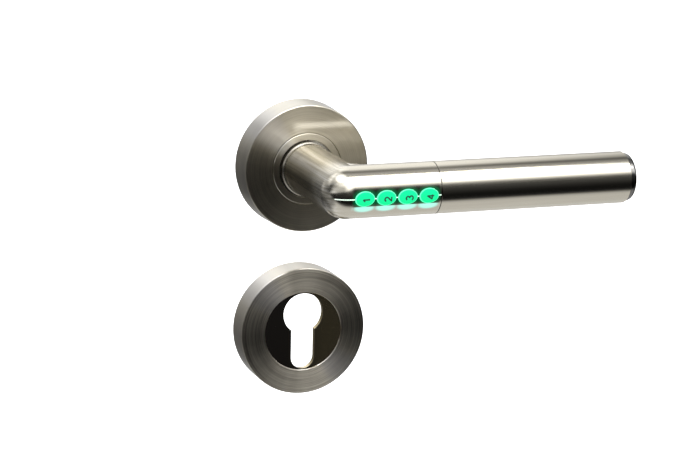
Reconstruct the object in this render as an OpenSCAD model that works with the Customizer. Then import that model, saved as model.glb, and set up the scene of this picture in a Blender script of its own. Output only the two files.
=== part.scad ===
// Keypad smart lock: a door lever with a four-key pad in its grip, on a round rose,
// and a separate round escutcheon for a Euro-profile lock cylinder.
// Origin: spindle axis on the door's face. +X to the lever's free end, +Y into the door, +Z up.

/* [Roses] */
// Radius of each rose cover at the door
rose_r = 28; // [28:0.1:29]
// Radius of the lever's rose cover at the edge of its front face
rose_front_r = 27.5; // [27.5:0.1:28]
// Height of the lever's rose cover above the door
rose_h = 13; // [13:0.1:13.4]
// Radius of the cylinder escutcheon at the edge of its front face
escutcheon_front_r = 28; // [27.5:0.1:28]
// Height of the cylinder escutcheon above the door
escutcheon_h = 12; // [11:0.1:13]
// Distance from the spindle down to the centre of the cylinder escutcheon
rose_spacing = 72; // [62:0.1:92]
// Distance between the two fixing studs of a rose
stud_spacing = 38; // [37.6:0.1:38.4]
// Radius of a fixing stud
stud_r = 3.9; // [3.5:0.1:4]
// Radius of the tapped hole in a fixing stud
stud_hole_r = 1.65; // [1.5:0.05:2.2]
// How far the lever's fixing studs stand into the door
stud_reach = 12; // [11:0.5:16]
// How far the escutcheon's fixing studs stand into the door
short_stud_reach = 3.5; // [2:0.5:3.5]
// Depth of the tapped hole in a fixing stud
stud_hole_depth = 5.5; // [4:0.5:5.5]

/* [Lever] */
// Outer radius of the neck and grip
grip_r = 11; // [11:0.1:11.2]
// Wall of the two lever shells
shell_wall = 1.2; // [1.1:0.1:1.3]
// Distance from the door to the grip's axis
grip_out = 60.7; // [60.6:0.1:64]
// Where the shells end and the grip sleeve begins
seam_x = 38; // [37.8:0.1:38.4]
// Where the grip sleeve ends
sleeve_end_x = 124.8; // [124.2:0.1:126]
// Where the end cap ends
tip_x = 127.9; // [127.8:0.1:129]
// Radius of the fillet inside the elbow
elbow_fillet = 3; // [2.5:0.5:5]
// Height of the line where the two shells meet, from the grip's axis
split_z = -0.8; // [-0.8:0.1:-0.4]

/* [Keys] */
// Width of a key along the grip
key_w = 8.4; // [8:0.1:8.4]
// Height of a key
key_h = 6.3; // [6:0.1:6.6]
// Distance from one key to the next
key_pitch = 9.32; // [9.3:0.01:9.36]
// Place of the first key along the grip
key_first_x = 4.5; // [4.3:0.1:4.6]
// How far a key's face stands out of the shell
key_proud = 0.35; // [0.2:0.05:0.5]
// How far a key travels; the key joints use the same value
key_travel = 0.7; // [0.5:0.05:0.7]

/* [Spindle and clutch] */
// Side of the square spindle
spindle_side = 8; // [7.8:0.1:8]
// How far the spindle stands into the door
spindle_reach = 45; // [30:1:60]
// Radius of the neck core's journal
journal_r = 9; // [8.9:0.05:9]
// Radial clearance of a running fit
run_gap = 0.05; // [0.03:0.01:0.08]

/* [Cylinder hole] */
// Radius of the round part of the cylinder hole
hole_r = 8.95; // [8.6:0.05:9.1]
// Width of the slot below it
slot_w = 10.6; // [10.2:0.1:10.8]
// Total height of the cylinder hole
hole_h = 33.6; // [33:0.1:33.8]
// Radius of the polished insert
insert_r = 17.15; // [17.1:0.05:17.4]

/* [Hidden] */
$fn = 64;
eps = 0.01;

// Rose covers and the plates behind them, as heights above the door
cover_wall = 1;
cover_bore_r = 27.1;
edge_round = 0.6;
insert_low = escutcheon_h - 2.7;
plate_h = 5;
plate_r = 26.6;
snap_rim_r = cover_bore_r - run_gap;
stud_head_r = 5;
stud_shoulder_r = 4.4;
stud_head_h = 3;
// Circles that together open the escutcheon's plate: place across and up, and radius
plate_openings = [[0, 2, 13.3], [0, -10, 11.5], [-5.2, 8, 9.5], [5.2, 8, 9.5]];

// Neck root, as radii and heights above the door
hub_r = 13.8;
hub_h = 9.4;
bush_r = 11;
bush_low = 2.6;
circlip_low = 1.2;
circlip_high = 2.4;
driver_low = 10.1;
driver_high = 10.9;
collar_low = 11.1;
collar_high = 13.2;
collar_r = 15.3;
collar_bore_r = 12.4;
ferrule_r = 11.8;
ferrule_high = 15.2;
root_lip_r = 10.5;

// Torsion spring and the finger and stops round it
spring_r = 17.5;
spring_wire_r = 0.8;
spring_low = 6.2;
spring_turns = 1.6;
finger_deg = 120;
finger_in = 19.2;
finger_out = 21.8;
finger_w = 3;
lever_swing = 45;
stop_step = 9.2;

// Lever shells, sleeve and what they hold
shell_in_r = grip_r - shell_wall;
elbow_r = grip_r + elbow_fillet;
fillet_tube_r = grip_r - 0.2;
split_gap = 0.06;
guide_start_x = -7.6;
guide_half_h = 0.22;
guide_in_r = 9.3;
sleeve_in_r = 10;
spigot_end_x = seam_x + 8;
spigot_in_r = 8.9;
sleeve_gap = 0.2;
board_front = grip_out + 6;
board_back = grip_out + 5;
board_half_h = 7.4;
dome_h = 0.45;
key_skirt = grip_out + 8.1;
key_stem_l = key_skirt - board_front - dome_h - key_travel - run_gap;
cell_r = 8.5;
cell_l = 34.5;
cell_start_x = 48;
plug_start_x = 119;

// Clutch in the neck, as heights above the door
core_bore_r = 6.45;
hub_low = 16.5;
hub_high = 26;
hub_floor = 22;
core_high = 37;
carriage_low = 29.3;
carriage_high = 34.3;
pin_out = 4;
pin_r = 1.2;
screw_r = 1.4;
motor_r = 5;
motor_low = 38.2;
motor_high = 52.2;

key_xs = [for (i = [0:3]) key_first_x + i * key_pitch];

// ---- Shared shapes -------------------------------------------------------------

// Turns +Z into the direction straight out of the door
module from_door() {
  rotate([90, 0, 0]) children();
}

// Turns +Z into the direction along the grip, on the grip's axis
module along_grip() {
  translate([0, -grip_out, 0]) rotate([0, 90, 0]) children();
}

// A ring about +Z
module ring(outer, inner, low, high) {
  difference() {
    translate([0, 0, low]) cylinder(r = outer, h = high - low);
    translate([0, 0, low - 1]) cylinder(r = inner, h = high - low + 2);
  }
}

// A block on +Z whose middle stands off the axis at an angle
module lug(angle, inner, outer, width, low, high) {
  rotate([0, 0, angle]) translate([inner, -width / 2, low])
    cube([outer - inner, width, high - low]);
}

// The outline of a key, grown all round by a clearance
module key_outline(grow = 0) {
  polygon([for (a = [0:9:351])
    [(key_w / 2 + grow) * cos(a), (key_h / 2 + grow) * sin(a)]]);
}

// The outline of a Euro-profile cylinder, grown all round by a clearance
module cylinder_outline(grow = 0) {
  up = hole_h / 2 - hole_r;
  translate([0, up]) circle(r = hole_r + grow);
  translate([0, slot_w / 2 - hole_h / 2]) circle(r = slot_w / 2 + grow);
  translate([-slot_w / 2 - grow, slot_w / 2 - hole_h / 2])
    square([slot_w + 2 * grow, up + hole_h / 2 - slot_w / 2]);
}

function unit(v) = v / norm(v);
function heading(path, i) = unit(path[min(i + 1, len(path) - 1)] - path[max(i - 1, 0)]);
function rod_ring(path, i, r, up, sides) =
  let (t = heading(path, i), u = unit(cross(up, t)), w = cross(t, u))
  [for (k = [0:sides - 1]) path[i] + r * (cos(k * 360 / sides) * u + sin(k * 360 / sides) * w)];

// A round rod that follows a path; up is any direction that the path never takes
module rod(path, r, up = [0, 0, 1], sides = 8) {
  rings = len(path);
  points = [for (i = [0:rings - 1]) each rod_ring(path, i, r, up, sides)];
  walls = [for (i = [0:rings - 2], k = [0:sides - 1])
    let (n = (k + 1) % sides)
    [i * sides + n, i * sides + k, (i + 1) * sides + k, (i + 1) * sides + n]];
  start_face = [for (k = [0:sides - 1]) k];
  end_face = [for (k = [sides - 1:-1:0]) (rings - 1) * sides + k];
  polyhedron(points = points, faces = concat(walls, [start_face, end_face]), convexity = 6);
}

// A coil about +Z whose radius may change from one end to the other
function coil_path(r_low, r_high, low, high, turns, start = 0, step = 15) =
  let (n = ceil(turns * 360 / step))
  [for (i = [0:n]) let (f = i / n, a = start + f * turns * 360, r = r_low + f * (r_high - r_low))
    [r * cos(a), r * sin(a), low + f * (high - low)]];

// ---- Roses ---------------------------------------------------------------------

// A turned cover with a rounded front edge and a bore for what stands in its middle
module rose_cover(bore_r, front_r, h) {
  from_door() rotate_extrude() polygon(concat(
    [[cover_bore_r, 0], [rose_r, 0]],
    [for (a = [0:15:90])
      [front_r - edge_round + edge_round * cos(a), h - edge_round + edge_round * sin(a)]],
    [[bore_r + 0.25, h], [bore_r, h - 0.25], [bore_r, h - cover_wall],
     [cover_bore_r, h - cover_wall]]));
}

// A plate whose snap rim holds the cover, with counterbored seats for two studs
module rose_plate() {
  difference() {
    union() {
      cylinder(r = plate_r, h = plate_h);
      translate([0, 0, 1]) cylinder(r = snap_rim_r, h = 2);
    }
    for (x = [-stud_spacing / 2, stud_spacing / 2]) translate([x, 0, 0]) {
      translate([0, 0, -1]) cylinder(r = stud_shoulder_r, h = plate_h + 2);
      translate([0, 0, plate_h - stud_head_h]) cylinder(r = stud_head_r, h = stud_head_h + 1);
    }
  }
}

// Two headed studs, tapped from the door's side
module fixing_studs(reach) {
  from_door() for (x = [-stud_spacing / 2, stud_spacing / 2]) translate([x, 0, 0])
    difference() {
      union() {
        translate([0, 0, -reach]) cylinder(r = stud_r, h = reach + eps);
        cylinder(r = stud_shoulder_r, h = plate_h - eps);
        translate([0, 0, plate_h - stud_head_h]) cylinder(r = stud_head_r, h = stud_head_h - eps);
      }
      translate([0, 0, -reach - 1]) cylinder(r = stud_hole_r, h = stud_hole_depth + 1);
    }
}

module lever_mounting_plate() color("gray") from_door() difference() {
  union() {
    rose_plate();
    cylinder(r = hub_r, h = hub_h);
    for (a = [finger_deg + stop_step, finger_deg - lever_swing - stop_step])
      lug(a, finger_in, finger_out, finger_w, plate_h - 1, driver_low + 0.5);
    lug(205, finger_in - 0.4, finger_out, 2, plate_h - 1, 8);
  }
  translate([0, 0, -1]) cylinder(r = bush_r, h = hub_h + 2);
  translate([0, 0, -1]) cylinder(r = 12.5, h = bush_low + 1);
}

module lever_rose_cover() color("silver") rose_cover(collar_r + 0.15, rose_front_r, rose_h);

module collar_ring() color("silver") from_door() rotate_extrude() polygon([
  [collar_bore_r, collar_low], [17.3, collar_low], [17.3, rose_h - cover_wall],
  [collar_r, rose_h - cover_wall], [collar_r, collar_high - 0.2], [collar_r - 0.2, collar_high],
  [collar_bore_r + 0.2, collar_high], [collar_bore_r, collar_high - 0.2]]);

module neck_bush() color("white") from_door() {
  ring(bush_r, journal_r + run_gap, bush_low, driver_low - 0.1);
  ring(12.6, journal_r + run_gap, hub_h, driver_low - 0.1);
}

module return_spring() color("dimgray") from_door() {
  top = spring_low + spring_turns * (2 * spring_wire_r + 0.2);
  coil = coil_path(spring_r, spring_r, spring_low, top, spring_turns, 199, 12);
  first = [cos(199), sin(199), 0];
  last_deg = 199 + spring_turns * 360;
  last = [cos(last_deg), sin(last_deg), 0];
  rod(concat([[first.x * 21.4, first.y * 21.4, spring_low]], coil,
    [[last.x * 21.4, last.y * 21.4, top]]), spring_wire_r);
}

module lever_fixing_studs() color("silver") fixing_studs(stud_reach);

module cylinder_mounting_plate() color("gray") translate([0, 0, -rose_spacing]) from_door()
  difference() {
    rose_plate();
    for (place = plate_openings)
      translate([place[0], place[1], -1]) cylinder(r = place[2], h = plate_h + 2);
  }

module cylinder_rose_cover() color("silver") translate([0, 0, -rose_spacing])
  rose_cover(insert_r + 0.15, escutcheon_front_r, escutcheon_h);

// The insert is a stepped disc: its rim sits behind the cover's front wall
module cylinder_insert() color("black") translate([0, 0, -rose_spacing]) from_door()
  difference() {
    union() {
      translate([0, 0, insert_low]) cylinder(r = insert_r, h = 2.4);
      translate([0, 0, insert_low]) cylinder(r = insert_r + 2, h = 2.7 - cover_wall);
    }
    translate([0, 0, insert_low - 1]) linear_extrude(5) cylinder_outline();
  }

module cylinder_fixing_studs() color("silver") translate([0, 0, -rose_spacing])
  fixing_studs(short_stud_reach);

// ---- Lever ---------------------------------------------------------------------

// The lever's L shape: neck, ball corner and grip. The ball's poles lie inside the tubes.
module lever_form(r, root, end_x) {
  from_door() translate([0, 0, root]) cylinder(r = r, h = grip_out - root);
  along_grip() cylinder(r = r, h = end_x);
  translate([0, -grip_out, 0]) rotate([90, 0, 45]) sphere(r = r);
}

// A slightly slimmer bent tube that rounds the inside of the corner
module corner_fillet() {
  translate([elbow_r, elbow_r - grip_out, 0]) rotate([0, 0, 180])
    rotate_extrude(angle = 90) translate([elbow_r, 0]) circle(r = fillet_tube_r);
}

// The hollow lever skin, with the lip that the ferrule holds and the sleeve's spigot
module lever_skin() {
  difference() {
    union() {
      lever_form(grip_r, ferrule_high, seam_x);
      corner_fillet();
      from_door() translate([0, 0, 12]) cylinder(r = root_lip_r, h = 5);
      along_grip() translate([0, 0, seam_x - 1])
        cylinder(r = sleeve_in_r - run_gap, h = spigot_end_x - seam_x + 1);
    }
    lever_form(shell_in_r, 11, seam_x - 1);
    along_grip() cylinder(r = spigot_in_r, h = spigot_end_x + 1);
    key_windows();
    light_guide_slot();
  }
}

// Openings for the keys, cut through the front of the shells
module key_windows() {
  for (x = key_xs) translate([x, -grip_out - 7, split_z]) rotate([90, 0, 0])
    linear_extrude(6) key_outline(0.15);
}

// The slot for the strip of light, along the front of the parting line and round the corner
module light_guide_slot() {
  translate([guide_start_x, -grip_out - grip_r - 1, split_z - guide_half_h - 0.03])
    cube([seam_x - 0.1 - guide_start_x, 7, 2 * guide_half_h + 0.06]);
}

// Half of space above or below the parting line
module above_split() {
  translate([-50, -100, split_z + split_gap]) cube([200, 120, 40]);
}
module below_split() {
  translate([-50, -100, split_z - split_gap - 40]) cube([200, 120, 40]);
}

module upper_shell() color("silver") intersection() {
  lever_skin();
  above_split();
}

module lower_shell() color("silver") difference() {
  intersection() {
    lever_skin();
    below_split();
  }
  translate([0, -35, -12]) cylinder(r = 1.3, h = 5);
  translate([0, -35, -grip_r - 0.1]) cylinder(r1 = 2.9, r2 = 1.3, h = 1.4);
  translate([seam_x + 4, -grip_out, -12]) cylinder(r = 1.5, h = 4);
}

module light_guide() color("white") difference() {
  translate([0, -grip_out, split_z - guide_half_h]) linear_extrude(2 * guide_half_h) difference() {
    union() {
      circle(r = grip_r - 0.05);
      translate([0, 0.05 - grip_r]) square([seam_x - 0.15, grip_r]);
    }
    circle(r = guide_in_r);
    translate([0, -guide_in_r]) square([seam_x, 2 * grip_r]);
    translate([-20, -6]) square([60, 20]);
    translate([guide_start_x + 0.05 - 20, -20]) square([20, 40]);
  }
  key_windows();
}

module grip_sleeve() color("silver") difference() {
  along_grip() rotate_extrude() polygon([
    [sleeve_in_r, seam_x + sleeve_gap], [grip_r - 0.2, seam_x + sleeve_gap],
    [grip_r, seam_x + sleeve_gap + 0.2], [grip_r, sleeve_end_x - 0.5],
    [grip_r - 0.5, sleeve_end_x], [sleeve_in_r, sleeve_end_x]]);
  translate([seam_x + 4, -grip_out, -12]) cylinder(r = 1.5, h = 4);
}

// The core turns in the bush; its two collars centre the shells
module neck_core() color("gray") from_door() difference() {
  union() {
    translate([0, 0, 0.4]) cylinder(r = journal_r, h = core_high - 0.4);
    translate([0, 0, driver_high]) cylinder(r = shell_in_r - run_gap, h = 5);
    translate([0, 0, core_high - 4]) cylinder(r = shell_in_r - run_gap, h = 4);
  }
  ring(journal_r + 1, 8.3, circlip_low, circlip_high);
  cylinder(r = 6, h = 20);
  translate([0, 0, hub_low - 0.2]) cylinder(r = core_bore_r, h = core_high);
  translate([0, -5, 35]) rotate([90, 0, 0]) cylinder(r = 1.05, h = 6);
}

module neck_ferrule() color("silver") from_door() rotate_extrude() polygon([
  [root_lip_r + run_gap, 11.2], [ferrule_r, 11.2], [ferrule_r, ferrule_high - 0.5],
  [ferrule_r - 0.5, ferrule_high], [root_lip_r + run_gap, ferrule_high]]);

module spring_driver() color("gray") from_door() difference() {
  union() {
    translate([0, 0, driver_low]) cylinder(r = 13, h = driver_high - driver_low);
    lug(finger_deg, 10, finger_out, finger_w, driver_low, driver_high);
    lug(finger_deg, finger_in, finger_out, finger_w, 7.6, driver_high);
  }
  translate([0, 0, 5]) cylinder(r = journal_r, h = 8);
}

module circlip() color("dimgray") from_door() difference() {
  ring(10.6, 8.35, circlip_low + 0.05, circlip_high - 0.05);
  translate([-1.5, -12, 0]) cube([3, 6, 5]);
}

// ---- Keypad --------------------------------------------------------------------

module key(i) color("lime") {
  face_r = grip_r + key_proud;
  intersection() {
    translate([key_xs[i], -key_skirt, split_z]) rotate([90, 0, 0])
      linear_extrude(6) key_outline();
    along_grip() cylinder(r = face_r, h = seam_x);
  }
  translate([key_xs[i] - 2.5, -grip_out - 8.5, split_z - 3.7]) cube([5, 0.75, 7.4]);
  translate([key_xs[i], -key_skirt, split_z]) rotate([-90, 0, 0]) translate([0, 0, -eps])
    cylinder(r = 1.2, h = key_stem_l);
}
module key_1() key(0);
module key_2() key(1);
module key_3() key(2);
module key_4() key(3);

module keypad_board() color("darkgreen")
  translate([-2, -board_front, -board_half_h]) cube([39, board_front - board_back, 2 * board_half_h]);

module key_domes() color("silver") for (x = key_xs)
  translate([x, -board_front, split_z]) rotate([90, 0, 0]) {
    cylinder(r = 2.4, h = 0.2);
    translate([0, 0, 0.2 - eps]) cylinder(r1 = 2, r2 = 1.1, h = dome_h - 0.2 + eps);
  }

module key_leds() color("lightgreen") for (i = [0:4], z = [-2.2, 2.2])
  translate([key_first_x + (i - 0.5) * key_pitch - 0.8, -board_front - 0.6, split_z + z - 0.5])
    cube([1.6, 0.6, 1]);

module controller_chips() color("black") {
  for (part = [[2, -3, 6, 6], [14, -3.5, 7, 7], [27, -2.5, 5, 4]])
    translate([part[0], -board_back, part[1]]) cube([part[2], 1.2, part[3]]);
}

module board_chassis() color("dimgray") difference() {
  along_grip() ring(shell_in_r - 0.1, 8.6, 15.5, seam_x - 1.2);
  translate([10, -grip_out - 12, -12]) cube([40, 6, 24]);
  translate([10, -board_front - 0.1, -board_half_h - 0.1])
    cube([40, board_front - board_back + 0.2, 2 * board_half_h + 0.2]);
}

module contact_block() color("dimgray") along_grip()
  translate([0, 0, spigot_end_x - 2]) cylinder(r = spigot_in_r - 0.1, h = 1.8);

module contact_spring() color("silver") along_grip()
  rod(coil_path(5, 2.6, spigot_end_x + 0.1, cell_start_x - 0.4, 1.6), 0.3, [0, 0, 1], 6);

module grub_screw() color("dimgray") difference() {
  translate([seam_x + 4, -grip_out, -grip_r + 0.2]) cylinder(r = 1.45, h = 2.2);
  translate([seam_x + 4, -grip_out, -grip_r]) cylinder(r = 0.8, h = 1.2, $fn = 6);
}

module shell_screw() color("dimgray") translate([0, -35, 0]) difference() {
  union() {
    translate([0, 0, -grip_r + 0.3]) cylinder(r1 = 2.2, r2 = 1, h = 0.9);
    translate([0, 0, -grip_r + 1]) cylinder(r = 1, h = 3.3);
  }
  translate([0, 0, -grip_r]) cylinder(r = 0.8, h = 0.9, $fn = 6);
}

// ---- Clutch --------------------------------------------------------------------

module spindle_bar() color("gray") difference() {
  translate([-spindle_side / 2, -hub_floor + 0.1, -spindle_side / 2])
    cube([spindle_side, hub_floor - 0.1 + spindle_reach, spindle_side]);
  translate([0, -19.2, -7]) cylinder(r = 1.02, h = 14);
}

module clutch_hub() color("goldenrod") from_door() difference() {
  translate([0, 0, hub_low]) cylinder(r = core_bore_r - run_gap, h = hub_high - hub_low);
  translate([-spindle_side / 2 - 0.05, -spindle_side / 2 - 0.05, hub_low - 1])
    cube([spindle_side + 0.1, spindle_side + 0.1, hub_floor - hub_low + 1]);
  for (side = [-1, 1]) translate([0, side * pin_out, hub_floor + 0.6])
    cylinder(r = pin_r + 0.2, h = 5);
  translate([0, 7, 19.2]) rotate([90, 0, 0]) cylinder(r = 1.02, h = 14);
}

module hub_pin() color("silver") translate([0, -19.2, -6.2]) cylinder(r = 1, h = 12.4);

module clutch_carriage() color("goldenrod") from_door() difference() {
  translate([0, 0, carriage_low])
    cylinder(r = core_bore_r - run_gap, h = carriage_high - carriage_low);
  translate([0, 0, carriage_low - 1]) cylinder(r = screw_r + run_gap, h = 7);
}

module clutch_pin() color("silver") from_door()
  for (side = [-1, 1]) translate([0, side * pin_out, hub_high + 0.2])
    cylinder(r = pin_r, h = carriage_low - hub_high - 0.2);

module clutch_screw() color("silver") from_door() translate([0, 0, 27])
  cylinder(r = screw_r, h = motor_low - 27.1);

module clutch_motor() color("silver") from_door() {
  translate([0, 0, motor_low]) cylinder(r = motor_r, h = motor_high - motor_low);
  translate([0, 0, motor_high - eps]) cylinder(r = 1.5, h = 1);
}

module motor_bracket() color("dimgray") from_door()
  ring(shell_in_r - 0.1, motor_r + run_gap, core_high + 0.1, 45);

module motor_wires() color("red") for (side = [-1, 1])
  rod([[side * 3, -52.3, 0], [side * 3, -54, 0.7], [1 + side * 2, -57, 2.2],
       [3 + side * 1.5, -60.5, 3.6], [4 + side * 1.2, -63, 4.3], [4.5 + side, -65.6, 4.4]],
      0.45, [1, 0, 0], 6);

module battery_wires() color("red") for (side = [-1, 1])
  rod([[spigot_end_x - 2.1, -grip_out, side * 2.5], [seam_x + 4, -grip_out, side * 3],
       [seam_x, -grip_out - 1.5, side * 3.6], [seam_x - 2, -grip_out - 3, side * 4.2],
       [seam_x - 2.8, -board_back + 0.1, side * 4.4]],
      0.45, [0, 0, 1], 6);

// ---- Battery cartridge ---------------------------------------------------------

// A trough under both cells, open at the top so that they lift out
module battery_tray() color("dimgray") difference() {
  along_grip() ring(9.5, cell_r + 0.1, cell_start_x - 0.6, plug_start_x);
  translate([0, -grip_out - 12, 2.5]) cube([plug_start_x + 5, 24, 20]);
}

module cell(i) color("steelblue") along_grip()
  translate([0, 0, cell_start_x + i * (cell_l + 0.1)]) {
    translate([0, 0, 0.8]) cylinder(r = cell_r, h = cell_l - 0.8);
    cylinder(r = 3.2, h = 1);
  }
module battery_1() cell(0);
module battery_2() cell(1);

module cap_spring() color("silver") along_grip()
  rod(coil_path(5.4, 3, plug_start_x - 0.35, cell_start_x + 2 * cell_l + 0.5, 1.6), 0.3,
      [0, 0, 1], 6);

module contact_strip() color("goldenrod") along_grip() difference() {
  ring(9.8, 9.5, cell_start_x, plug_start_x - 1);
  translate([-12, -12, 0]) cube([20.8, 24, 130]);
}

module end_cap() color("silver") along_grip() difference() {
  union() {
    translate([0, 0, plug_start_x])
      cylinder(r = sleeve_in_r - run_gap, h = sleeve_end_x - plug_start_x + 0.05);
    rotate_extrude() polygon(concat(
      [[0, sleeve_end_x + 0.05], [10.2, sleeve_end_x + 0.05]],
      [for (a = [0:15:90]) [8.6 + 1.6 * cos(a), tip_x - 1.9 + 1.6 * sin(a)]],
      [[0, tip_x]]));
  }
  ring(12, 8.7, 120.6, 122);
}

module cap_o_ring() color("black") along_grip() translate([0, 0, 121.3])
  rotate_extrude() translate([9.35, 0]) circle(r = 0.6);

lever_mounting_plate();
lever_rose_cover();
collar_ring();
neck_bush();
return_spring();
lever_fixing_studs();
cylinder_mounting_plate();
cylinder_rose_cover();
cylinder_insert();
cylinder_fixing_studs();
neck_core();
neck_ferrule();
spring_driver();
circlip();
upper_shell();
lower_shell();
light_guide();
grip_sleeve();
keypad_board();
key_domes();
key_leds();
controller_chips();
board_chassis();
contact_block();
contact_spring();
clutch_motor();
motor_bracket();
motor_wires();
battery_wires();
grub_screw();
shell_screw();
spindle_bar();
clutch_hub();
hub_pin();
clutch_carriage();
clutch_pin();
clutch_screw();
key_1();
key_2();
key_3();
key_4();
battery_tray();
battery_1();
battery_2();
cap_spring();
contact_strip();
end_cap();
cap_o_ring();
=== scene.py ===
import math

import bpy
from mathutils import Matrix, Vector


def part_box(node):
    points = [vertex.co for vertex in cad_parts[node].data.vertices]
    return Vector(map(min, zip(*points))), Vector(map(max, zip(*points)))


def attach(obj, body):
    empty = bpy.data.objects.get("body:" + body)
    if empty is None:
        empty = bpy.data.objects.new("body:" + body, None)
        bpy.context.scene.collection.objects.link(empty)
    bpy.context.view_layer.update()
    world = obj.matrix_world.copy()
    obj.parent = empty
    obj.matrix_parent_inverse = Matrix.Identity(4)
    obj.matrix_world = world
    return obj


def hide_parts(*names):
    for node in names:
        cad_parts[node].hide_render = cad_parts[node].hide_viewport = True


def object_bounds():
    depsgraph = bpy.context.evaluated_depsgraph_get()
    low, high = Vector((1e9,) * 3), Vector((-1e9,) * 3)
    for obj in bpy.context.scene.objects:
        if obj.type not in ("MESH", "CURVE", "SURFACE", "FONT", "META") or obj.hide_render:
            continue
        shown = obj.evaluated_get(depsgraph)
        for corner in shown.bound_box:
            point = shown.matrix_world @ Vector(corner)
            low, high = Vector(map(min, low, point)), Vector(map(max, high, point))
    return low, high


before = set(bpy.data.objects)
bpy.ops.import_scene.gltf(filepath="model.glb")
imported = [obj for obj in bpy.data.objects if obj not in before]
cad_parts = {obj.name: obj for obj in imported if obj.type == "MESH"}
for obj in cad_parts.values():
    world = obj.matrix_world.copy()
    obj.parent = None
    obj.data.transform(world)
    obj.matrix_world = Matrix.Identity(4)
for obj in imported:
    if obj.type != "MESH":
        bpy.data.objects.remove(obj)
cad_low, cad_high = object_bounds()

MM = 0.001
WHITE = (1, 1, 1, 1)


# ---- Places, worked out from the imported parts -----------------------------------

def middle(node):
    low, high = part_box(node)
    return (low + high) / 2


sleeve_low, sleeve_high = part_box("grip_sleeve")
SEAM_X, GRIP_END_X = sleeve_low.x, sleeve_high.x
GRIP_R = (sleeve_high.z - sleeve_low.z) / 2
GRIP_Y = (sleeve_high.y + sleeve_low.y) / 2
KEYS = [middle(f"key_{i}") for i in range(1, 5)]
KEY_PITCH = (KEYS[3].x - KEYS[0].x) / 3
key_low, key_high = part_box("key_1")
KEY_HALF_W = (key_high.x - key_low.x) / 2
KEY_HALF_H = 3.15 * MM  # of the oval that shows: the node's box takes in the flanges behind it
KEY_FACE_RISE = GRIP_Y - GRIP_R - key_low.y
UPPER_ROSE = middle("lever_rose_cover")
LOWER_ROSE = middle("cylinder_rose_cover")


# ---- Camera ---------------------------------------------------------------------

AZIMUTH, ELEVATION, ROLL = math.radians(-20.431), math.radians(13.338), math.radians(1.37)
CAMERA_DISTANCE = 1.1
LOOK_AT = Vector((24.993, 0, -32.595)) * MM
LENS_MM = 129.574
SENSOR_MM = 36


def place_camera():
    back = Vector((math.sin(AZIMUTH) * math.cos(ELEVATION),
                   -math.cos(AZIMUTH) * math.cos(ELEVATION), math.sin(ELEVATION)))
    level = Vector((0, 0, 1)).cross(back).normalized()
    upright = back.cross(level)
    right = math.cos(ROLL) * level + math.sin(ROLL) * upright
    up = math.cos(ROLL) * upright - math.sin(ROLL) * level
    data = bpy.data.cameras.new("camera")
    data.sensor_width = SENSOR_MM
    data.lens = LENS_MM
    data.clip_start, data.clip_end = 0.05, 20
    camera = bpy.data.objects.new("camera", data)
    camera.matrix_world = Matrix.Translation(LOOK_AT + back * CAMERA_DISTANCE) @ Matrix(
        (right, up, back)).transposed().to_4x4()
    bpy.context.scene.collection.objects.link(camera)
    bpy.context.scene.camera = camera
    bpy.context.scene.view_settings.view_transform = "Standard"


place_camera()


# ---- Node graphs ----------------------------------------------------------------

class Graph:
    """Short calls that add nodes to a shader tree. An input is a socket, a number or a colour."""

    def __init__(self, tree):
        self.tree = tree
        tree.nodes.clear()

    def node(self, kind, inputs=None, **properties):
        made = self.tree.nodes.new("ShaderNode" + kind)
        for name, value in properties.items():
            setattr(made, name, value)
        for name, value in (inputs or {}).items():
            self.set(made.inputs[name], value)
        return made

    def set(self, socket, value):
        if isinstance(value, bpy.types.NodeSocket):
            self.tree.links.new(value, socket)
        else:
            socket.default_value = value

    def math(self, operation, a, b=0.0):
        return self.node("Math", {0: a, 1: b}, operation=operation).outputs[0]

    def plus(self, a, b):
        return self.math("ADD", a, b)

    def minus(self, a, b):
        return self.math("SUBTRACT", a, b)

    def times(self, a, b):
        return self.math("MULTIPLY", a, b)

    def vector(self, operation, a, b=(0, 0, 0)):
        made = self.node("VectorMath", {0: a, 1: b}, operation=operation)
        return made.outputs["Value" if operation in ("LENGTH", "DOT_PRODUCT") else "Vector"]

    def scaled(self, a, factor):
        return self.node("VectorMath", {0: a, "Scale": factor}, operation="SCALE").outputs["Vector"]

    def combine(self, x=0.0, y=0.0, z=0.0):
        return self.node("CombineXYZ", {"X": x, "Y": y, "Z": z}).outputs[0]

    def separate(self, a):
        return self.node("SeparateXYZ", {0: a}).outputs

    def place(self):
        """Where the point is on its own part, in metres, whatever the pose."""
        return self.node("TexCoord").outputs["Object"]

    def noise(self, vector, scale=1.0, detail=2.0, rough=0.5):
        return self.node("TexNoise", {"Vector": vector, "Scale": scale, "Detail": detail,
                                      "Roughness": rough}).outputs["Fac"]

    def span(self, value, low, high, to_low=0.0, to_high=1.0, smooth=False):
        """Carries the range from low to high over to another range, and stops at its ends."""
        made = self.node("MapRange", {"Value": value, "From Min": low, "From Max": high,
                                      "To Min": to_low, "To Max": to_high})
        if smooth:
            made.interpolation_type = "SMOOTHSTEP"
        return made.outputs["Result"]

    def blend(self, factor, a, b):
        return self.node("MixRGB", {"Fac": factor, "Color1": a, "Color2": b}).outputs[0]

    def ramp(self, factor, stops):
        made = self.node("ValToRGB", {"Fac": factor})
        elements = made.color_ramp.elements
        while len(elements) < len(stops):
            elements.new(0.5)
        for element, (place, colour) in zip(elements, stops):
            element.position = place
            element.color = colour
        return made.outputs["Color"]

    def bump(self, height, distance, strength):
        return self.node("Bump", {"Height": height, "Distance": distance,
                                  "Strength": strength}).outputs["Normal"]

    def principled(self, **inputs):
        """A principled shader. Its inputs are named with _ in place of each space."""
        names = {key.replace("_", " "): value for key, value in inputs.items()}
        return self.node("BsdfPrincipled", names).outputs["BSDF"]

    def finish(self, surface):
        self.node("OutputMaterial", {"Surface": surface})


def material(name):
    made = bpy.data.materials.new(name)
    made.use_nodes = True
    return made, Graph(made.node_tree)


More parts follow.
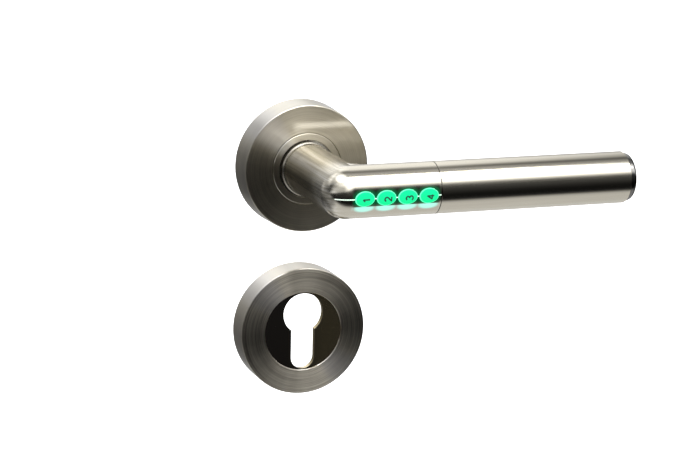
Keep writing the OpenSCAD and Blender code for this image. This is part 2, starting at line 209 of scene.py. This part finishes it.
def darker(tint, share):
    return tuple(share * c for c in tint[:3]) + (1,)


# ---- Studio: light all round, a pale floor --------------------------------------

# Brightness of the studio in each direction round the grip: degrees above the horizontal
# in front, and level. A wide softbox hangs overhead, and the room in front is dark.
STUDIO = [(-180, 0.66), (-125, 0.72), (-66, 0.68), (-58, 0.60), (-52, 0.30), (-46, 0.035),
          (-38, 0.008), (-22, 0.008), (-10, 0.022), (4, 0.050), (15, 0.080), (21, 0.16),
          (27, 0.55), (33, 1.6), (42, 2.8), (70, 2.9), (76, 1.1), (81, 0.60), (90, 0.47),
          (97, 0.42), (101, 0.27), (107, 0.24), (111, 0.38), (118, 0.80), (123, 0.92),
          (129, 0.60), (138, 0.46), (156, 0.48), (180, 0.62)]
BRIGHTEST = 3.2  # above every level in STUDIO, because a colour ramp ends at 1
# Dark screens and softboxes that stand to one side: direction, half angles in degrees where
# each is whole and where it has faded, and the share it lets through or the level it adds
SCREENS = [((-0.31, 0.91, -0.24), 10, 31, 0.15), ((0.93, 0.30, 0.03), 28, 42, 0.02),
           ((0.16, 0.91, -0.40), 5, 15, 0.45), ((-0.93, 0.25, -0.25), 24, 46, 0.34),
           ((-0.57, 0.58, -0.58), 12, 30, 0.35)]
LAMPS = [((0.12, 0.80, 0.60), 10, 30, 0.85), ((-0.34, -0.10, 0.93), 8, 24, 1.6),
         ((-0.52, 0.30, 0.80), 10, 32, 0.55)]


def hang_studio():
    """The light that falls on the part from all round. The camera itself sees white."""
    world = bpy.data.worlds.new("studio")
    world.use_nodes = True
    bpy.context.scene.world = world
    graph = Graph(world.node_tree)
    looking = graph.node("TexCoord").outputs["Generated"]
    direction = graph.separate(looking)

    def patch(towards, whole, faded):
        """1 within an angle of a direction, falling to 0 further out."""
        cosine = graph.vector("DOT_PRODUCT", graph.vector("NORMALIZE", looking),
                              Vector(towards).normalized())
        return graph.span(cosine, math.cos(math.radians(faded)), math.cos(math.radians(whole)),
                          smooth=True)

    # The overhead softbox hangs lower to the left
    turn = graph.math("ARCTAN2", direction["Z"], graph.times(direction["Y"], -1.0))
    overhead = graph.times(graph.span(turn, 0.0, 0.3), graph.span(turn, 0.9, 1.3, 1, 0))
    lower_left = graph.times(graph.span(direction["X"], 0.34, -0.36, 0.0, 0.36), overhead)
    turn = graph.plus(turn, lower_left)
    stops = [((degrees + 180) / 360, (level / BRIGHTEST,) * 3 + (1,)) for degrees, level in STUDIO]
    strength = graph.times(BRIGHTEST, graph.ramp(graph.span(turn, -math.pi, math.pi), stops))

    # It fades out further left, and the bright floor fades out to the right
    in_front = graph.span(direction["Y"], 0.45, 0.15)
    above = graph.times(graph.span(direction["Z"], -0.1, 0.2),
                        graph.span(direction["Z"], 0.5, 0.85, 1, 0.2))
    far_left = graph.times(graph.span(direction["X"], 0.15, -0.45, 0, 0.78, smooth=True),
                           graph.times(in_front, above))
    far_right = graph.times(graph.span(direction["X"], 0.40, 0.80, 0, 0.75, smooth=True),
                            graph.span(direction["Z"], -0.15, -0.4))
    for faded_share in (far_left, far_right):
        strength = graph.times(strength, graph.minus(1.0, faded_share))
    for towards, whole, faded, share in SCREENS:
        dimmed = graph.times(patch(towards, whole, faded), 1 - share)
        strength = graph.times(strength, graph.minus(1.0, dimmed))
    for towards, whole, faded, level in LAMPS:
        strength = graph.plus(strength, graph.times(patch(towards, whole, faded), level))

    seen = graph.node("LightPath").outputs["Is Camera Ray"]
    around = graph.node("Background", {"Color": WHITE, "Strength": strength}).outputs[0]
    backdrop = graph.node("Background", {"Color": WHITE, "Strength": 1.0}).outputs[0]
    mixed = graph.node("MixShader", {0: seen, 1: around, 2: backdrop}).outputs[0]
    graph.node("OutputWorld", {"Surface": mixed})


FLOOR_HALF = 3.0
CARTRIDGE_TRAVEL = 90 * MM
FLOOR_GAP = 20 * MM
# Below the pulled battery cartridge with the lever down at 45 degrees, whose sine is 0.71
FLOOR_Z = -0.75 * (cad_high.x + CARTRIDGE_TRAVEL) - FLOOR_GAP


def lay_floor():
    """A pale floor that glows a little, and is clear from below and in reflections."""
    corners = [(-1, -1), (1, -1), (1, 1), (-1, 1)]
    mesh = bpy.data.meshes.new("floor")
    mesh.from_pydata([(x * FLOOR_HALF, y * FLOOR_HALF, FLOOR_Z) for x, y in corners],
                     [], [(0, 1, 2, 3)])
    floor = bpy.data.objects.new("floor", mesh)
    bpy.context.scene.collection.objects.link(floor)
    floor.visible_glossy = False
    paint, graph = material("floor_paint")
    grain = graph.noise(graph.place(), 40.0, 3.0)
    pale = graph.blend(grain, (0.86, 0.86, 0.86, 1), (0.9, 0.9, 0.9, 1))
    paper = graph.principled(Base_Color=pale, Roughness=0.9, Emission_Color=WHITE,
                             Emission_Strength=0.75)
    from_below = graph.node("NewGeometry").outputs["Backfacing"]
    clear = graph.node("BsdfTransparent").outputs[0]
    graph.finish(graph.node("MixShader", {0: from_below, 1: paper, 2: clear}).outputs[0])
    mesh.materials.append(paint)


SOFTBOX_SIZE = (0.9, 0.5)
SOFTBOX_WATTS = 6
SOFTBOX_AT, SOFTBOX_TOWARDS = Vector((0.15, -0.55, 0.9)), Vector((0.05, -0.05, 0))


def hang_softbox():
    data = bpy.data.lights.new("softbox", "AREA")
    data.shape = "RECTANGLE"
    data.size, data.size_y = SOFTBOX_SIZE
    data.energy = SOFTBOX_WATTS
    softbox = bpy.data.objects.new("softbox", data)
    softbox.location = SOFTBOX_AT
    facing = (SOFTBOX_TOWARDS - SOFTBOX_AT).to_track_quat("-Z", "Y")
    softbox.rotation_euler = facing.to_euler()
    bpy.context.scene.collection.objects.link(softbox)


hang_studio()
lay_floor()
hang_softbox()


# ---- Steel of the lever, with the keys' light on it -----------------------------

def crosswise(graph, along):
    """The direction in the surface across the brush marks, which run along a direction."""
    turned = graph.node("VectorTransform", {0: along}, vector_type="VECTOR",
                        convert_from="OBJECT", convert_to="WORLD").outputs[0]
    normal = graph.node("NewGeometry").outputs["Normal"]
    return graph.vector("NORMALIZE", graph.vector("CROSS_PRODUCT", turned, normal))


# A painted glow spills a little way round each key, in half sizes of the key, and a painted pool of
# light lies below it. Heights are measured round the grip from the middle of the keys.
SPILL_REACH, SPILL_STRENGTH = 1.75, 0.20
POOL_TOP, POOL_FULL = -3.25 * MM, -3.60 * MM
POOL_MIDDLE, POOL_HALF_W, POOL_HALF_H = -3.9 * MM, 5.2 * MM, 2.75 * MM
POOL_STRENGTH = 0.60
SPILL_COLOUR, POOL_COLOUR = (0.0, 0.60, 0.20, 1), (0.10, 0.95, 0.82, 1)
# Painted shade where the keys stand proud, on the steel between them, up to this height above them
SHADE_TOP, SHADE_GONE, SHADE = 3.6 * MM, 5.0 * MM, 0.84


def key_light(graph, place):
    """The keys' green light painted on the steel round them as a glow: its colour, its strength, and
    the share of the steel's own shine that painted shade between the keys takes away."""
    axis = graph.separate(place)
    angle = graph.math("ARCTAN2", axis["Z"], graph.minus(GRIP_Y, axis["Y"]))
    height = graph.minus(graph.times(angle, GRIP_R), KEYS[0].z)
    along = graph.minus(axis["X"], KEYS[0].x - KEY_PITCH / 2)
    here = graph.minus(graph.math("FLOORED_MODULO", along, KEY_PITCH), KEY_PITCH / 2)
    row_end = len(KEYS) * KEY_PITCH
    in_row = graph.times(
        graph.span(along, -1.2 * MM, 0.6 * MM, smooth=True),
        graph.span(along, row_end - 0.6 * MM, row_end + 0.8 * MM, 1, 0, smooth=True))

    def oval(centre_height, half_w, half_h):
        """How far out a point is on an oval in each key's place: 1 at the oval's edge."""
        return graph.vector("LENGTH", graph.combine(
            graph.math("DIVIDE", here, half_w),
            graph.math("DIVIDE", graph.minus(height, centre_height), half_h)))

    near = graph.span(oval(0.0, KEY_HALF_W, KEY_HALF_H), 1.0, SPILL_REACH, 1, 0, smooth=True)
    spill = graph.times(graph.math("POWER", near, 1.6), SPILL_STRENGTH)
    under = graph.span(height, POOL_FULL, POOL_TOP, 1, 0, smooth=True)
    below = graph.span(oval(POOL_MIDDLE, POOL_HALF_W, POOL_HALF_H), 0.60, 1.05, 1, 0, smooth=True)
    pool = graph.times(graph.times(below, under), POOL_STRENGTH)
    colour = graph.blend(under, SPILL_COLOUR, POOL_COLOUR)
    level_with_keys = graph.times(graph.span(height, POOL_FULL, POOL_TOP, smooth=True),
                                  graph.span(height, SHADE_TOP, SHADE_GONE, 1, 0, smooth=True))
    shaded = graph.times(graph.times(level_with_keys, in_row), SHADE)
    return colour, graph.times(graph.plus(spill, pool), in_row), shaded


# Marks per metre along the tube, up its side, and outwards from its axis
STREAKS, BANDS, BROAD_BANDS = (25, 1800, 400), (6, 420, 150), (9, 620, 150)
# Width of the painted shade in the seam between the shells and the sleeve, and where it has gone
SEAM_SHADE, SEAM_SHADE_GONE = 0.08 * MM, 0.28 * MM
ELBOW_BLEND = 6 * MM


def lever_steel():
    """Satin steel, brushed along the neck and along the grip, with the keys' glow painted on it, and
    painted shade and a painted dark reflection line in its colour.
    """
    made, graph = material("lever_steel")
    place = graph.place()
    axis = graph.separate(place)
    # Distance along the tube, which turns through 90 degrees at the elbow
    path = graph.minus(axis["X"], axis["Y"])
    on_grip = graph.span(graph.minus(path, -GRIP_Y), -ELBOW_BLEND, ELBOW_BLEND, smooth=True)
    off_grip = graph.minus(1.0, on_grip)
    along = graph.combine(on_grip, off_grip)
    # The marks follow the tube round the elbow: distance along it, height, and how far out
    outer = graph.math("MAXIMUM", graph.times(axis["X"], -1.0), graph.minus(GRIP_Y, axis["Y"]))
    tube = graph.combine(path, axis["Z"], outer)
    streaks = graph.noise(graph.vector("MULTIPLY", tube, STREAKS), 1.0, 3.0, 0.6)
    bands = graph.noise(graph.vector("MULTIPLY", tube, BANDS), 1.0, 2.0)
    broad = graph.noise(graph.vector("MULTIPLY", tube, BROAD_BANDS), 1.0, 4.0, 0.6)
    tone = graph.plus(graph.times(streaks, 0.5), graph.times(bands, 0.5))
    satin = graph.ramp(tone, [(0.30, (0.64, 0.60, 0.505, 1)), (0.55, (0.70, 0.66, 0.56, 1)),
                              (0.75, (0.75, 0.71, 0.61, 1))])
    worn = graph.ramp(broad, [(0.36, (0.34, 0.32, 0.27, 1)), (0.50, (0.74, 0.70, 0.60, 1)),
                              (0.60, (1.0, 0.97, 0.90, 1))])
    colour = graph.blend(graph.times(off_grip, 0.7), satin, worn)
    # Painted shade darkens the seam, and a painted dark reflection line runs along the top of the
    # grip, stronger towards its end
    from_seam = graph.math("ABSOLUTE", graph.minus(axis["X"], SEAM_X))
    seam_shade = graph.times(on_grip, graph.span(from_seam, SEAM_SHADE, SEAM_SHADE_GONE, 0.8, 0))
    # Painted dark reflection: a line along the top of the grip, darker towards its end
    from_top = graph.math("ABSOLUTE", graph.minus(axis["Z"], 0.88 * GRIP_R))
    top = graph.span(from_top, 0.3 * MM, 2.2 * MM, 1, 0, smooth=True)
    dark_top_reflection = graph.times(top, graph.span(axis["X"], SEAM_X, GRIP_END_X, 0, 0.5))
    glow_colour, glow, shaded = key_light(graph, place)
    # Painted shade and a painted dark reflection: the seam, the line along the top and the steel
    # between the keys go towards one dark colour
    dark = graph.math("MAXIMUM", graph.math("MAXIMUM", seam_shade, graph.times(dark_top_reflection, on_grip)),
                      shaded)
    roughness = graph.plus(graph.times(off_grip, 0.07), graph.span(tone, 0.3, 0.7, 0.10, 0.17))
    # The keys' painted glow is emission on the steel
    graph.finish(graph.principled(
        Base_Color=graph.blend(dark, colour, (0.05, 0.047, 0.04, 1)), Metallic=1.0,
        Roughness=roughness, Anisotropic=0.45, Tangent=crosswise(graph, along),
        Normal=graph.bump(streaks, 0.004 * MM, 0.5),
        Emission_Color=glow_colour, Emission_Strength=glow))
    return made


# ---- Other finishes -------------------------------------------------------------

def turned_steel(name, centre, dark, light_tone, roughness, rings_per_metre):
    """Lacquered steel with the fine rings that turning leaves, about an axis along Y."""
    made, graph = material(name)
    axis = graph.separate(graph.vector("SUBTRACT", graph.place(), centre))
    flat = graph.combine(axis["X"], 0.0, axis["Z"])
    radius = graph.vector("LENGTH", flat)
    outward = graph.vector("NORMALIZE", flat)
    spoke = graph.separate(graph.scaled(outward, 0.7))
    rings = graph.noise(graph.combine(graph.times(radius, rings_per_metre), spoke["X"],
                                      spoke["Z"]), 1.0, 3.0, 0.65)
    fans = graph.noise(graph.combine(graph.times(radius, 12.0), graph.times(spoke["X"], 5),
                                     graph.times(spoke["Z"], 5)), 1.0, 2.0)
    tone = graph.plus(graph.times(rings, 0.8), graph.times(fans, 0.2))
    plain = graph.ramp(tone, [(0.34, dark), (0.64, light_tone)])
    # Painted bluish reflection: two opposite fans of the turned face are tinted bluer than the rest
    out = graph.separate(outward)
    painted_blue_fan = graph.span(graph.times(out["X"], out["Z"]), -0.36, -0.5, 0, 0.35, smooth=True)
    around = graph.vector("CROSS_PRODUCT", (0, 1, 0), outward)
    graph.finish(graph.principled(
        Base_Color=graph.blend(painted_blue_fan, plain, (0.60, 0.60, 0.66, 1)), Metallic=1.0,
        Roughness=graph.span(tone, 0.3, 0.7, roughness - 0.04, roughness + 0.06),
        Anisotropic=0.8, Tangent=crosswise(graph, around),
        Normal=graph.bump(rings, 0.006 * MM, 0.5),
        Coat_Weight=1.0, Coat_IOR=2.0, Coat_Roughness=0.09))
    return made


def polished(name, tint, roughness):
    """Mirror plating with faint polishing swirls."""
    made, graph = material(name)
    swirl = graph.noise(graph.place(), 350.0, 4.0, 0.6)
    graph.finish(graph.principled(
        Base_Color=graph.blend(swirl, tint, darker(tint, 0.8)), Metallic=1.0,
        Roughness=graph.span(swirl, 0.3, 0.8, roughness, roughness * 1.3),
        Normal=graph.bump(swirl, 0.003 * MM, 0.15)))
    return made


def smoked_chrome(name):
    """Dark mirror plating, browner to the right of its middle: painted brown light on that side,
    which is rougher too.
    """
    made, graph = material(name)
    swirl = graph.noise(graph.place(), 350.0, 4.0, 0.6)
    # Painted light: the right side is tinted paler and browner, as the light falls on it
    side = graph.span(graph.separate(graph.place())["X"], -9 * MM, 10 * MM, smooth=True)
    tint = graph.blend(side, (0.50, 0.45, 0.40, 1), (1.0, 0.84, 0.50, 1))
    graph.finish(graph.principled(
        Base_Color=graph.blend(graph.times(swirl, 0.3), tint, (0.3, 0.26, 0.2, 1)),
        Metallic=1.0,
        Roughness=graph.plus(graph.span(side, 0, 1, 0.0, 0.12),
                             graph.span(swirl, 0.3, 0.8, 0.09, 0.13)),
        Normal=graph.bump(swirl, 0.003 * MM, 0.15)))
    return made


def plain_metal(name, tint, roughness, grain_size=2400.0):
    """Bare metal with a fine even grain, for the parts inside."""
    made, graph = material(name)
    grain = graph.noise(graph.place(), grain_size, 4.0, 0.6)
    stain = graph.noise(graph.place(), 90.0, 2.0)
    graph.finish(graph.principled(
        Base_Color=graph.blend(graph.times(stain, 0.5), tint, darker(tint, 0.6)), Metallic=1.0,
        Roughness=graph.span(grain, 0.3, 0.7, roughness - 0.04, roughness + 0.05),
        Normal=graph.bump(grain, 0.002 * MM, 0.2)))
    return made


def moulded(name, tint, roughness):
    """Moulded plastic or rubber: a fine texture and a slight variation of tone."""
    made, graph = material(name)
    grain = graph.noise(graph.place(), 1400.0, 3.0, 0.6)
    cloud = graph.noise(graph.place(), 60.0, 2.0)
    paler = tuple(min(1.0, 1.35 * c + 0.01) for c in tint[:3]) + (1,)
    graph.finish(graph.principled(
        Base_Color=graph.blend(graph.times(cloud, 0.35), tint, paler),
        Roughness=graph.span(grain, 0.3, 0.7, roughness - 0.05, roughness + 0.07),
        Normal=graph.bump(grain, 0.015 * MM, 0.4)))
    return made


def lit_plastic(name, tint, glow, strength):
    """Translucent plastic lit from behind, a little uneven, as a lamp behind it makes it."""
    made, graph = material(name)
    cloud = graph.noise(graph.place(), 260.0, 2.0)
    graph.finish(graph.principled(
        Base_Color=tint, Roughness=0.22, Emission_Color=graph.blend(cloud, glow, darker(glow, 0.82)),
        Emission_Strength=graph.span(cloud, 0.3, 0.7, strength * 0.92, strength * 1.06)))
    return made


def key_plastic(name, tint, low_glow, high_glow, strength):
    """Translucent key plastic lit from behind, paler towards the top of the key."""
    made, graph = material(name)
    cloud = graph.noise(graph.place(), 260.0, 2.0)
    height = graph.minus(graph.separate(graph.place())["Z"], KEYS[0].z)
    share_up = graph.span(height, -KEY_HALF_H, KEY_HALF_H)
    graph.finish(graph.principled(
        Base_Color=tint, Roughness=0.3, Specular_IOR_Level=0.2,
        Emission_Color=graph.blend(share_up, low_glow, high_glow),
        Emission_Strength=graph.span(cloud, 0.3, 0.7, strength * 0.94, strength * 1.04)))
    return made


def light_pipe(name):
    """The clear strip between the shells: bright beside the keys with the LEDs' light, dim towards
    the elbow, where its paler glow is a painted highlight of the parting edge.
    """
    made, graph = material(name)
    x = graph.separate(graph.place())["X"]
    cloud = graph.noise(graph.place(), 260.0, 2.0)
    # Towards the elbow the strip glows a paler white: a painted highlight of the parting edge
    near_keys = graph.span(x, KEYS[0].x - 1.25 * KEY_PITCH, KEYS[0].x - 0.6 * KEY_PITCH)
    level = graph.span(near_keys, 0, 1, 0.42, 0.62)
    graph.finish(graph.principled(
        Base_Color=(0.55, 0.62, 0.55, 1), Roughness=0.25,
        Emission_Color=graph.blend(near_keys, (0.80, 0.86, 0.78, 1), (0.50, 1.0, 0.74, 1)),
        Emission_Strength=graph.times(level, graph.span(cloud, 0.3, 0.7, 0.92, 1.06))))
    return made


def circuit_board(name):
    """Green solder mask over a faint pattern of tracks."""
    made, graph = material(name)
    tracks = graph.node("TexBrick", {
        "Vector": graph.vector("MULTIPLY", graph.place(), (1, 0, 1)), "Scale": 260.0,
        "Color1": (0.02, 0.20, 0.09, 1), "Color2": (0.015, 0.15, 0.07, 1),
        "Mortar": (0.05, 0.32, 0.15, 1), "Mortar Size": 0.03}).outputs["Color"]
    graph.finish(graph.principled(Base_Color=tracks, Roughness=0.35, Coat_Weight=0.4,
                                  Coat_Roughness=0.1))
    return made


def cell_wrap(name, node):
    """Shrink wrap on a battery cell, with a pale band at its positive end."""
    made, graph = material(name)
    high_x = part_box(node)[1].x
    x = graph.separate(graph.place())["X"]
    band = graph.span(x, high_x - 6 * MM, high_x - 5.8 * MM)
    crease = graph.noise(graph.vector("MULTIPLY", graph.place(), (60, 700, 700)), 1.0, 3.0)
    graph.finish(graph.principled(
        Base_Color=graph.blend(band, (0.03, 0.06, 0.11, 1), (0.62, 0.60, 0.52, 1)),
        Roughness=0.28, Coat_Weight=0.5, Coat_Roughness=0.08,
        Normal=graph.bump(crease, 0.03 * MM, 0.35)))
    return made


# Each finish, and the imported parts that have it. The keys' own pieces come further down.
FINISHES = [
    (lever_steel(), ["upper_shell", "lower_shell", "grip_sleeve"]),
    (turned_steel("upper_rose_steel", UPPER_ROSE, (0.52, 0.48, 0.39, 1), (0.63, 0.585, 0.48, 1),
                  0.32, 2400.0), ["lever_rose_cover", "collar_ring"]),
    (turned_steel("lower_rose_steel", LOWER_ROSE, (0.47, 0.43, 0.355, 1), (0.82, 0.77, 0.66, 1),
                  0.44, 1700.0), ["cylinder_rose_cover"]),
    (plain_metal("ferrule_steel", (0.46, 0.43, 0.37, 1), 0.24), ["neck_ferrule"]),
    (polished("mirror_chrome", (0.26, 0.255, 0.245, 1), 0.04), ["end_cap"]),
    (smoked_chrome("dark_chrome"), ["cylinder_insert"]),
    (plain_metal("bright_steel", (0.66, 0.66, 0.65, 1), 0.25),
     ["lever_fixing_studs", "cylinder_fixing_studs", "spring_driver", "key_domes",
      "contact_spring", "cap_spring", "clutch_motor", "spindle_bar", "hub_pin", "clutch_pin",
      "clutch_screw"]),
    (plain_metal("spring_steel", (0.33, 0.33, 0.34, 1), 0.32),
     ["return_spring", "circlip", "grub_screw", "shell_screw"]),
    (plain_metal("zinc_casting", (0.42, 0.42, 0.43, 1), 0.5, 1500.0),
     ["lever_mounting_plate", "cylinder_mounting_plate", "neck_core"]),
    (plain_metal("brass", (0.78, 0.57, 0.26, 1), 0.28),
     ["clutch_hub", "clutch_carriage", "contact_strip"]),
    (moulded("black_plastic", (0.02, 0.02, 0.022, 1), 0.45),
     ["board_chassis", "contact_block", "motor_bracket", "battery_tray"]),
    (moulded("acetal", (0.80, 0.79, 0.74, 1), 0.4), ["neck_bush"]),
    (moulded("chip_package", (0.012, 0.012, 0.012, 1), 0.5), ["controller_chips"]),
    (moulded("red_wire", (0.45, 0.02, 0.015, 1), 0.4), ["motor_wires"]),
    (moulded("red_battery_wire", (0.45, 0.02, 0.015, 1), 0.4), ["battery_wires"]),
    (moulded("rubber", (0.015, 0.015, 0.015, 1), 0.6), ["cap_o_ring"]),
    (light_pipe("light_pipe"), ["light_guide"]),
    (circuit_board("solder_mask"), ["keypad_board"]),
    (lit_plastic("led_lens", (0.6, 1, 0.7, 1), (0.25, 1.0, 0.4, 1), 2.0), ["key_leds"]),
    (cell_wrap("battery_1_wrap", "battery_1"), ["battery_1"]),
    (cell_wrap("battery_2_wrap", "battery_2"), ["battery_2"]),
]
for part_finish, nodes in FINISHES:
    for node in nodes:
        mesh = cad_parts[node].data
        mesh.materials.clear()
        mesh.materials.append(part_finish)


# ---- Mesh helpers ---------------------------------------------------------------

SMOOTH_BELOW = math.radians(35)


class Shape:
    """Points and faces of one piece, with a material number for each face."""

    def __init__(self):
        self.points, self.faces, self.kinds = [], [], []

    def loft(self, rings, kinds=None):
        """Joins rings of points, with a material number for each band, and closes both ends."""
        kinds = kinds or [0] * (len(rings) - 1)
        first, size = len(self.points), len(rings[0])
        for ring in rings:
            self.points += ring
        for i, kind in enumerate(kinds):
            a, b = first + i * size, first + (i + 1) * size
            for k in range(size):
                n = (k + 1) % size
                self.faces.append((a + k, a + n, b + n, b + k))
                self.kinds.append(kind)
        last = first + (len(rings) - 1) * size
        self.faces.append(tuple(first + k for k in reversed(range(size))))
        self.faces.append(tuple(last + k for k in range(size)))
        self.kinds += [kinds[0], kinds[-1]]

    def piece(self, name, materials, body):
        mesh = bpy.data.meshes.new(name)
        mesh.from_pydata([tuple(p) for p in self.points], [], self.faces)
        for m in materials:
            mesh.materials.append(m)
        for polygon, kind in zip(mesh.polygons, self.kinds):
            polygon.material_index = kind
            polygon.use_smooth = True
        mesh.set_sharp_from_angle(angle=SMOOTH_BELOW)
        made = bpy.data.objects.new(name, mesh)
        bpy.context.scene.collection.objects.link(made)
        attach(made, body)
        return made


# ---- Keys -----------------------------------------------------------------------

# Across a key from its edge to its middle: share of the way out, and how far the surface
# rises as a share of the whole rise. A raised rim, a shallow groove, then a low dome.
KEY_PROFILE = [(1.0, -0.9), (1.0, 0.30), (0.985, 0.62), (0.96, 0.86), (0.925, 0.98),
               (0.885, 0.94), (0.85, 0.74), (0.81, 0.62), (0.76, 0.64), (0.64, 0.74),
               (0.50, 0.84), (0.34, 0.93), (0.18, 0.985), (0.04, 1.0)]
RIM_BANDS = 4
KEY_OUTLINE = [(math.cos(2 * math.pi * k / 64), math.sin(2 * math.pi * k / 64))
               for k in range(64)]
# Behind the face: a skirt down to here, two flanges that hold the key in, and a stem
SKIRT_Y = GRIP_Y - 8.1 * MM
FLANGE_FRONT, FLANGE_BACK = SKIRT_Y - 1.15 * MM, SKIRT_Y - 0.4 * MM
FLANGE_HALF_W, FLANGE_EASE = 2.5 * MM, 0.1 * MM
STEM_R, STEM_TIP_R, STEM_TIP = 1.2 * MM, 0.9 * MM, 0.2 * MM
STEM_OVERLAP = 0.01 * MM
DIGIT_TALL, DIGIT_WIDE, DIGIT_STROKE = 2.9 * MM, 1.9 * MM, 0.62 * MM
DIGIT_SHIFT_X, DIGIT_SHIFT_Z = 0.65 * MM, -0.45 * MM
DIGIT_RISE = 0.03 * MM
# Round a stroke: which side of its middle, and how many times the digit's rise above the key
DIGIT_SECTION = [(-1, -2), (-1, 1), (1, 1), (1, -2)]
DIGIT_STEP = 0.12 * MM


def key_rise(share):
    """How far a key's surface stands above the steel, at a share of the way to its edge."""
    steps = KEY_PROFILE[1:]
    for (far, high), (near, higher) in zip(steps, steps[1:]):
        if near <= share <= far:
            f = (far - share) / (far - near)
            return (high + f * (higher - high)) * KEY_FACE_RISE
    return KEY_FACE_RISE


def on_grip(x, z, rise):
    """The point at x and z on a cylinder round the grip's axis that stands above its skin."""
    return Vector((x, GRIP_Y - math.sqrt((GRIP_R + rise) ** 2 - z ** 2), z))


def arc(centre_x, centre_y, radius_x, radius_y, start, end, steps=14):
    """Points on an ellipse from one angle to another, in degrees."""
    angles = [math.radians(start + (end - start) * i / steps) for i in range(steps + 1)]
    return [(centre_x + radius_x * math.cos(a), centre_y + radius_y * math.sin(a))
            for a in angles]


# Digits as strokes in a box one unit wide and one unit tall, upright
DIGITS = {
    1: [[(0.18, 0.74), (0.60, 1.0), (0.60, 0.0)]],
    2: [arc(0.48, 0.70, 0.44, 0.30, 165, -35) + [(0.06, 0.0), (0.98, 0.0)]],
    3: [arc(0.46, 0.75, 0.42, 0.25, 155, -85) + arc(0.46, 0.25, 0.48, 0.27, 85, -155)],
    4: [[(0.72, 0.0), (0.72, 1.0), (0.0, 0.30), (1.0, 0.30)]],
}


def even_steps(line, step):
    """The line's points with more between them, no further apart than a step."""
    points = []
    for a, b in zip(line, line[1:]):
        count = max(1, math.ceil(math.dist(a, b) / step))
        points += [(a[0] + (b[0] - a[0]) * i / count, a[1] + (b[1] - a[1]) * i / count)
                   for i in range(count)]
    return points + [line[-1]]


def key_piece(number, centre, materials):
    """A lens-shaped key with a skirt, its two side flanges and the stem that presses a dome."""
    shape = Shape()
    low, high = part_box(f"key_{number}")

    def ring(half_w, half_h, y):
        return [Vector((centre.x + c * half_w, y, centre.z + s * half_h))
                for c, s in KEY_OUTLINE]

    rings = [ring(KEY_HALF_W, KEY_HALF_H, SKIRT_Y)]
    for share, rise in KEY_PROFILE:
        rings.append([on_grip(centre.x + c * KEY_HALF_W * share,
                              centre.z + s * KEY_HALF_H * share, rise * KEY_FACE_RISE)
                      for c, s in KEY_OUTLINE])
    shape.loft(rings, [1 if 0 < i <= RIM_BANDS else 0 for i in range(len(rings) - 1)])

    flange_half_h = (high.z - low.z) / 2
    corners = [(1, 1), (-1, 1), (-1, -1), (1, -1)]
    steps = [(FLANGE_BACK, FLANGE_EASE), (FLANGE_BACK - FLANGE_EASE, 0),
             (FLANGE_FRONT + FLANGE_EASE, 0), (FLANGE_FRONT, FLANGE_EASE)]
    shape.loft([[Vector((centre.x + sx * (FLANGE_HALF_W - ease), y,
                         centre.z + sz * (flange_half_h - ease))) for sx, sz in corners]
                for y, ease in steps])
    shape.loft([ring(STEM_TIP_R, STEM_TIP_R, high.y), ring(STEM_R, STEM_R, high.y - STEM_TIP),
                ring(STEM_R, STEM_R, SKIRT_Y - STEM_OVERLAP)])
    made = shape.piece(f"key_{number}_lens", materials, f"key_{number}")
    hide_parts(f"key_{number}")


def digit_piece(number, centre, ink):
    """A digit printed on a key, on its side: its top points away from the free end."""
    shape = Shape()
    for stroke in DIGITS[number]:
        line = [(centre.x + DIGIT_SHIFT_X - (v - 0.5) * DIGIT_TALL,
                 centre.z + DIGIT_SHIFT_Z + (u - 0.5) * DIGIT_WIDE) for u, v in stroke]
        line = even_steps(line, DIGIT_STEP)
        rings = []
        for i, (x, z) in enumerate(line):
            before, after = line[max(i - 1, 0)], line[min(i + 1, len(line) - 1)]
            run = Vector((after[0] - before[0], after[1] - before[1])).normalized()
            ring = []
            for side, rise in DIGIT_SECTION:
                edge_x = x - side * run.y * DIGIT_STROKE / 2
                edge_z = z + side * run.x * DIGIT_STROKE / 2
                share = math.hypot((edge_x - centre.x) / KEY_HALF_W,
                                   (edge_z - centre.z) / KEY_HALF_H)
                ring.append(on_grip(edge_x, edge_z, key_rise(share) + rise * DIGIT_RISE))
            rings.append(ring)
        shape.loft(rings)
    shape.piece(f"key_{number}_digit", [ink], f"key_{number}")


lens_green = key_plastic("key_lens", (0.0, 0.10, 0.05, 1), (0.0, 0.98, 0.30, 1),
                         (0.01, 1.0, 0.44, 1), 0.86)
rim_mint = key_plastic("key_rim", (0.05, 0.3, 0.2, 1), (0.06, 0.95, 0.42, 1),
                       (0.20, 1.0, 0.58, 1), 0.88)
ink_green = moulded("key_ink", (0.0, 0.045, 0.025, 1), 0.6)
for number, centre in enumerate(KEYS, 1):
    key_piece(number, centre, [lens_green, rim_mint])
    digit_piece(number, centre, ink_green)
